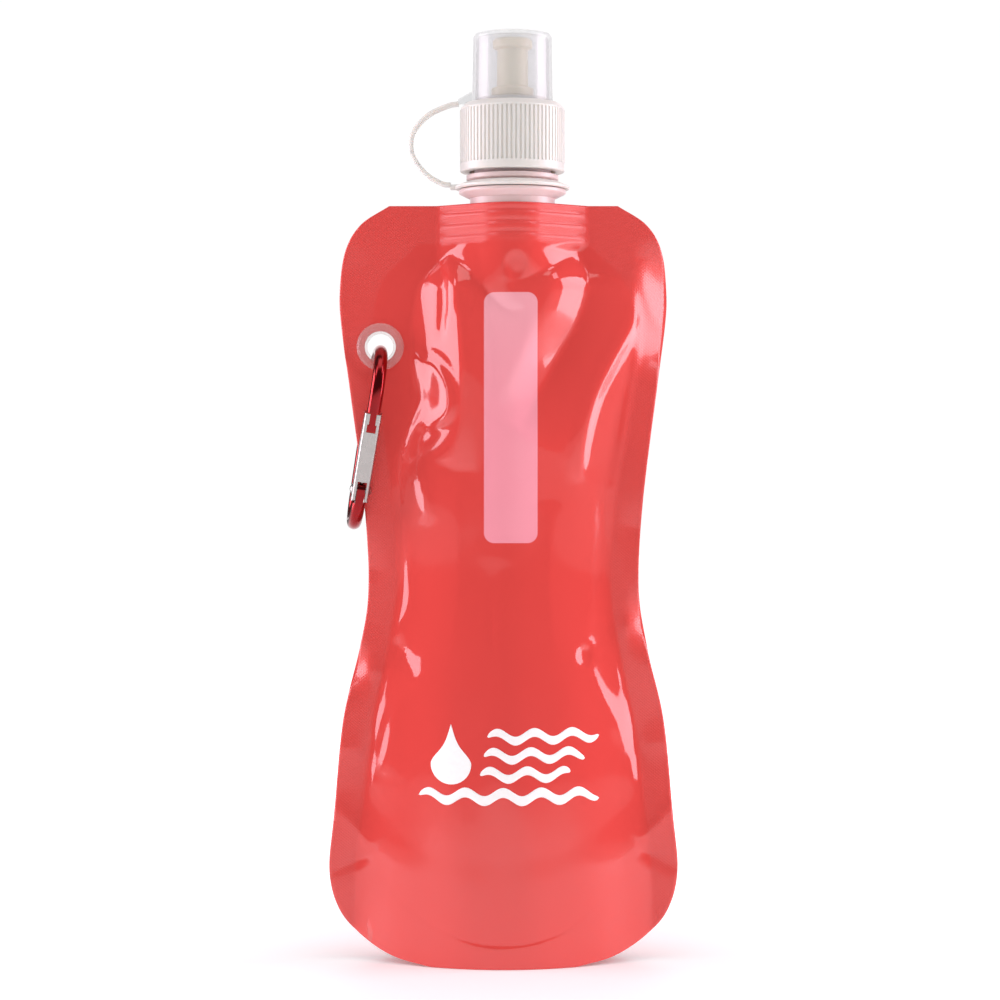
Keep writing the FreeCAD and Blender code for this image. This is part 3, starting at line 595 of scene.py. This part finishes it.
def anodisedAluminium(name, look):
    # drawn rod, tumbled and dyed: bright metal under a clear coloured layer
    material, tree = newMaterial(name)
    place = addNode(tree, "ShaderNodeTexCoord").outputs["Object"]
    cloud = addNode(tree, "ShaderNodeTexNoise", None,
                    {"Vector": place, "Scale": 150.0, "Detail": 4.0}).outputs["Fac"]
    colour = addNode(tree, "ShaderNodeMix", {"data_type": "RGBA"},
                     {0: cloud, 6: linear(look["light"]), 7: linear(look["dark"])}).outputs[2]
    rough = addNode(tree, "ShaderNodeMapRange", None,
                    {"Value": cloud, "To Min": look["roughness"] - 0.06,
                     "To Max": look["roughness"] + 0.1}).outputs["Result"]
    scratch = addNode(tree, "ShaderNodeTexNoise", None,
                      {"Vector": place, "Scale": 2200.0, "Detail": 2.0}).outputs["Fac"]
    skin = addNode(tree, "ShaderNodeBump", None,
                   {"Height": scratch, "Strength": 0.1, "Distance": 0.02 * mm}).outputs[0]
    finishMaterial(tree, {"Base Color": colour, "Metallic": 1.0, "Roughness": rough,
                          "Normal": skin, "Coat Weight": look["coat"], "Coat Roughness": 0.08})
    return material


def screenInk(name):
    # opaque white screen-printing ink: even, slightly duller than the film it lies on
    material, tree = newMaterial(name)
    place = addNode(tree, "ShaderNodeTexCoord").outputs["Object"]
    speck = addNode(tree, "ShaderNodeTexNoise", None,
                    {"Vector": place, "Scale": 900.0, "Detail": 2.0}).outputs["Fac"]
    colour = addNode(tree, "ShaderNodeMix", {"data_type": "RGBA"},
                     {0: speck, 6: linear("#FFFFFF"), 7: linear("#F6F3F1")}).outputs[2]
    skin = addNode(tree, "ShaderNodeBump", None,
                   {"Height": speck, "Strength": 0.1, "Distance": 0.02 * mm}).outputs[0]
    finishMaterial(tree, {"Base Color": colour, "Roughness": 0.35, "Normal": skin})
    return material


finishes = {
    "frontFilm": laminatedFilm("laminatedFilmWithWindow", True),
    "plainFilm": laminatedFilm("laminatedFilm", False),
    "ink": screenInk("screenPrintingInk"),
    "cap": mouldedPlastic("milkyPolypropylene", {"light": "#E2E0DB", "dark": "#D9D6D0",
                                                "roughness": 0.34, "milk": 0.5}),
    "spout": mouldedPlastic("naturalPolyethylene", {"light": "#E8D2D0", "dark": "#DFC5C3",
                                                   "roughness": 0.3, "milk": 0.6}),
    "liner": mouldedPlastic("foamedPolyethylene", {"light": "#F2F1EC", "dark": "#E9E8E2",
                                                  "roughness": 0.6, "milk": 0.2}),
    "nozzle": mouldedPlastic("creamPolyethylene", {"light": "#F2E7CC", "dark": "#E9DBBE",
                                                  "roughness": 0.38, "milk": 0.5}),
    "clear": clearPlastic("clearPolypropylene", {"tint": "#D6D8DA", "roughness": 0.1, "milk": 0.30}),
    "eyelet": clearPlastic("clearEyelet", {"tint": "#E8CBC8", "roughness": 0.12, "milk": 0.20}),
    "redAlu": anodisedAluminium("redAnodisedAluminium", {"light": "#A3141A", "dark": "#7E0C10",
                                                        "roughness": 0.2, "coat": 0.4}),
    "alu": anodisedAluminium("tumbledAluminium", {"light": "#BDBAB6", "dark": "#A5A29F",
                                                 "roughness": 0.26, "coat": 0.0}),
    "steel": anodisedAluminium("springSteelWire", {"light": "#B9BABC", "dark": "#9C9DA0",
                                                  "roughness": 0.25, "coat": 0.0}),
}
print("finishes made:", len(finishes))


# ---------- film panels, gusset and print

for name, side, finish, nodes in (
        ("frontPanel", -1, "frontFilm", ("front_film_lower", "front_film_upper")),
        ("backPanel", 1, "plainFilm", ("back_film_lower", "back_film_upper"))):
    blank = filmBlank(side)
    cutEyelet(blank)
    if side > 0:
        bmesh.ops.reverse_faces(blank, faces=blank.faces)
    blank.normal_update()
    bmesh.ops.solidify(blank, geom=blank.faces[:], thickness=pouch["filmThick"] * mm)
    bmesh.ops.recalc_face_normals(blank, faces=blank.faces)
    panel = addPiece(name, blank, finishes[finish])
    markWelds(panel)
    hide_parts(*nodes)
    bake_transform(panel)
print("film panels made")

gusset = {"half": 39.0, "low": 6.6, "rise": 24.0, "crease": 3.0, "floor": 0.82, "inset": 0.12,
          "thick": 0.2, "columns": 60, "rows": 44}


def gussetPlace(u, v):
    # an arched floor between the panels, with a skirt welded down each panel's inside
    x = gusset["half"] * u
    arc = gusset["low"] + gusset["rise"] * np.abs(u)**2.2
    across = np.clip(v / gusset["floor"], -1, 1)
    skirt = np.clip((np.abs(v) - gusset["floor"]) / (1 - gusset["floor"]), 0, 1)
    low = np.interp(np.abs(x), edgeLine[:180, 0], edgeLine[:180, 1]) + 0.4
    low = np.where(np.abs(x) < 20, 0.3, low)
    z = arc * (1 - skirt) + np.minimum(low, arc) * skirt
    inner = bagDepth(x, z) - gusset["inset"]
    crown = gusset["crease"] * np.exp(-(across * 2.6)**2) * (1 - np.abs(u)**2)
    y = np.maximum(inner, 0.02) * across
    return x, y, z + crown * (1 - skirt)


gussetBm = mappedGrid(gusset["columns"], gusset["rows"], gussetPlace)
thicken(gussetBm, gusset["thick"])
gussetPiece = addPiece("bottomGusset", gussetBm, finishes["plainFilm"])
markWelds(gussetPiece)
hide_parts("bottom_gusset")
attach(gussetPiece, "pouch_lower")
print("gusset made")

# a drop (middle and radius) beside wavy lines (left end, right end, height, half thickness)
mark = {"drop": (-14.5, 57.5, 5.6), "lift": 0.06, "inkThick": 0.05, "crest": 1.15, "wavelength": 10.4,
        "waves": [(-4.5, 26.5, 63.6, 1.2), (-5.5, 22.5, 58.4, 1.2), (-6.5, 18.5, 53.2, 1.2),
                  (-23.5, 26.5, 47.2, 1.35)]}


def onFront(x, z):
    return outerFace(x, z, -1) - mark["lift"]


def dropPlace(u, v):
    # a square grid rounded to a disc, then drawn up to a point
    cx, cz, radius = mark["drop"]
    dx = u * np.sqrt(1 - v**2 / 2)
    dz = v * np.sqrt(1 - u**2 / 2)
    rise = np.clip(dz, 0, 1)
    x = cx + radius * dx * (1 - 0.55 * rise**1.5)
    z = cz - 1.5 + radius * (dz + 0.95 * rise**2.2 * (1 - np.abs(dx))**1.5)
    return x, onFront(x, z), z


def wavePlace(start, end, level, thick):
    def place(u, v):
        x = start + (end - start) * (u + 1) / 2
        taper = np.sqrt(np.clip(1 - np.abs(u)**8, 0, 1))
        swell = mark["crest"] * np.sin((x - start) * 2 * np.pi / mark["wavelength"])
        z = level + swell + v * thick * taper
        return x, onFront(x, z), z
    return place


printParts = [mappedGrid(30, 30, dropPlace)]
for start, end, level, thick in mark["waves"]:
    printParts.append(mappedGrid(90, 4, wavePlace(start, end, level, thick)))
for number, part in enumerate(printParts):
    part.normal_update()
    thicken(part, mark["inkThick"])
    inkPiece = addPiece(f"print_{number}", part, finishes["ink"])
    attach(inkPiece, "pouch_lower")
print("print made")

# ---------- tether strap, in three lengths that meet, one across each sliding joint

strap = {"width": 3.0, "thick": 1.2, "levels": (216.6, 222.5, 226.0, 239.6),
         "line": [(-15.2, 240.1), (-18.5, 239.4), (-24.3, 236.5), (-28.4, 231.4),
                  (-28.6, 225.4), (-25.0, 219.8), (-20.2, 216.7), (-17.4, 216.15)]}


def strapBand():
    line = throughPoints(strap["line"], 10)
    rows = len(line) - 1

    def place(u, v):
        at = np.clip(((v + 1) / 2 * rows).round().astype(int), 0, rows)
        return line[at, 0] + pouch["spoutX"], u * strap["width"] / 2, line[at, 1]

    bm = mappedGrid(6, rows, place)
    thicken(bm, strap["thick"])
    return bm


strapSpans = (
    ("strapLower", "tether_ring", "screw_cap"),
    ("strapMiddle", "screw_cap", "nozzle"),
    ("strapUpper", "nozzle", "dust_cap"),
)
for number, (name, below, above) in enumerate(strapSpans):
    low, high = strap["levels"][number:number + 2]
    band = strapBand()
    cuts = []
    if name != "strapLower":
        cuts.append((low, True))
    if name != "strapUpper":
        cuts.append((high, False))
    for level, keepAbove in cuts:
        cut = bmesh.ops.bisect_plane(
            band, geom=band.verts[:] + band.edges[:] + band.faces[:],
            plane_co=(0, 0, level * mm), plane_no=(0, 0, 1),
            clear_inner=keepAbove, clear_outer=not keepAbove)
        cutEdges = [e for e in cut["geom_cut"] if isinstance(e, bmesh.types.BMEdge)]
        bmesh.ops.holes_fill(band, edges=cutEdges, sides=0)
    piece = addPiece(name, band, finishes["cap"])
    if name == "strapLower":
        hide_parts("tether_strap")
    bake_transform(piece)
print("tether strap made")

# ---------- carried-over parts get their finishes

nodeFinish = {
    "spout": "spout", "screw_cap": "cap", "cap_liner": "liner", "nozzle": "nozzle",
    "dust_cap": "clear", "tether_ring": "cap", "eyelet_front": "eyelet", "eyelet_back": "eyelet",
    "hook_frame": "redAlu", "hook_gate": "alu", "hook_rivet": "alu", "gate_spring": "steel",
    "spring_plunger": "alu",
}
for node, finish in nodeFinish.items():
    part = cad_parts[node]
    part.data.materials.clear()
    part.data.materials.append(finishes[finish])
print("finishes on carried-over parts:", len(nodeFinish))

# ---------- floor, light and camera

studio = {
    "floorSize": 6.0,
    "floorColour": "#F7F7F7",
    "floorGlow": (0.15, 1.0),   # the sweep's own light beside the object and far from it
    "floorSpread": (0.02, 0.5),
    "floorLight": 0.35,         # what it sends to the object
    "air": 0.12,                # light from all round
    "backdrop": 1.02,
    "lights": [
        # name, place, aim, width, height, radiance
        ("leftBox", (-0.80, 0.04, 0.26), (0, 0, 0.15), 0.50, 0.60, 5.2),
        ("rightBox", (0.80, 0.04, 0.28), (0, 0, 0.15), 0.50, 0.64, 5.6),
        ("leftHigh", (-0.62, -0.32, 0.80), (0, 0, 0.17), 0.22, 0.30, 4.0),
        ("rightHigh", (0.62, -0.32, 0.80), (0, 0, 0.17), 0.22, 0.30, 4.0),
        ("topBox", (0.0, -0.25, 0.95), (0, 0, 0.10), 0.80, 0.40, 1.7),
        ("frontPanel", (0.0, -1.20, 0.78), (0, 0, 0.14), 2.0, 0.92, 1.25),
        ("backBox", (0.0, 0.70, 0.45), (0, 0, 0.12), 0.70, 0.60, 1.2),
    ],
    "boxTint": (1.0, 0.86, 0.97),  # colours the side boxes, and so the highlights
    "noShine": ("frontPanel",),    # fills the shade without showing in the gloss
    "cameraPlace": (-0.00098, -0.820, 0.1286),
    "lens": 105.4,
}

bmFloor = bmesh.new()
bmesh.ops.create_grid(bmFloor, x_segments=1, y_segments=1, size=studio["floorSize"])
bmesh.ops.translate(bmFloor, verts=bmFloor.verts, vec=(0, 0, -0.0001))
# a lit white sweep: the light under it grows away from the object, so that no horizon shows
floorMaterial, floorTree = newMaterial("litSweep")
floorPlace = addNode(floorTree, "ShaderNodeTexCoord").outputs["Object"]
fromMiddle = addNode(floorTree, "ShaderNodeVectorMath", {"operation": "LENGTH"},
                     {0: floorPlace}).outputs["Value"]
lit = addNode(floorTree, "ShaderNodeMapRange", None,
              {"Value": fromMiddle,
               "From Min": studio["floorSpread"][0], "From Max": studio["floorSpread"][1],
               "To Min": studio["floorGlow"][0], "To Max": studio["floorGlow"][1]}).outputs["Result"]
direct = addNode(floorTree, "ShaderNodeLightPath").outputs["Is Camera Ray"]
sent = addNode(floorTree, "ShaderNodeMix", None, {0: direct, 2: studio["floorLight"], 3: lit})
finishMaterial(floorTree, {"Base Color": linear(studio["floorColour"]), "Roughness": 0.6,
                           "Emission Color": (1, 1, 1, 1), "Emission Strength": sent.outputs[0]})
floorMesh = bpy.data.meshes.new("floor")
bmFloor.to_mesh(floorMesh)
bmFloor.free()
floorMesh.materials.append(floorMaterial)
floor = bpy.data.objects.new("floor", floorMesh)
bpy.context.scene.collection.objects.link(floor)

for name, place, aim, width, height, radiance in studio["lights"]:
    lamp = bpy.data.lights.new(name, "AREA")
    lamp.shape = "RECTANGLE"
    lamp.size = width
    lamp.size_y = height
    lamp.energy = radiance * math.pi * width * height
    lamp.color = studio["boxTint"] if place[0] else (1, 1, 1)
    box = bpy.data.objects.new(name, lamp)
    box.location = place
    box.rotation_euler = (Vector(aim) - Vector(place)).to_track_quat("-Z", "Y").to_euler()
    box.visible_glossy = name not in studio["noShine"]
    bpy.context.scene.collection.objects.link(box)

world = bpy.data.worlds.new("studioAir")
world.use_nodes = True
air = world.node_tree
air.nodes.clear()
seen = addNode(air, "ShaderNodeLightPath").outputs["Is Camera Ray"]
strength = addNode(air, "ShaderNodeMapRange", None,
                   {"Value": seen, "To Min": studio["air"],
                    "To Max": studio["backdrop"]}).outputs["Result"]
glow = addNode(air, "ShaderNodeBackground", None, {"Color": (1, 1, 1, 1), "Strength": strength})
addNode(air, "ShaderNodeOutputWorld", None, {"Surface": glow.outputs["Background"]})
bpy.context.scene.world = world
bpy.context.scene.view_settings.view_transform = "Standard"

lens = bpy.data.cameras.new("camera")
lens.lens = studio["lens"]
lens.clip_start = 0.01
camera = bpy.data.objects.new("camera", lens)
camera.location = studio["cameraPlace"]
camera.rotation_euler = (math.radians(90), 0, 0)
bpy.context.scene.collection.objects.link(camera)
bpy.context.scene.camera = camera
print("studio made")
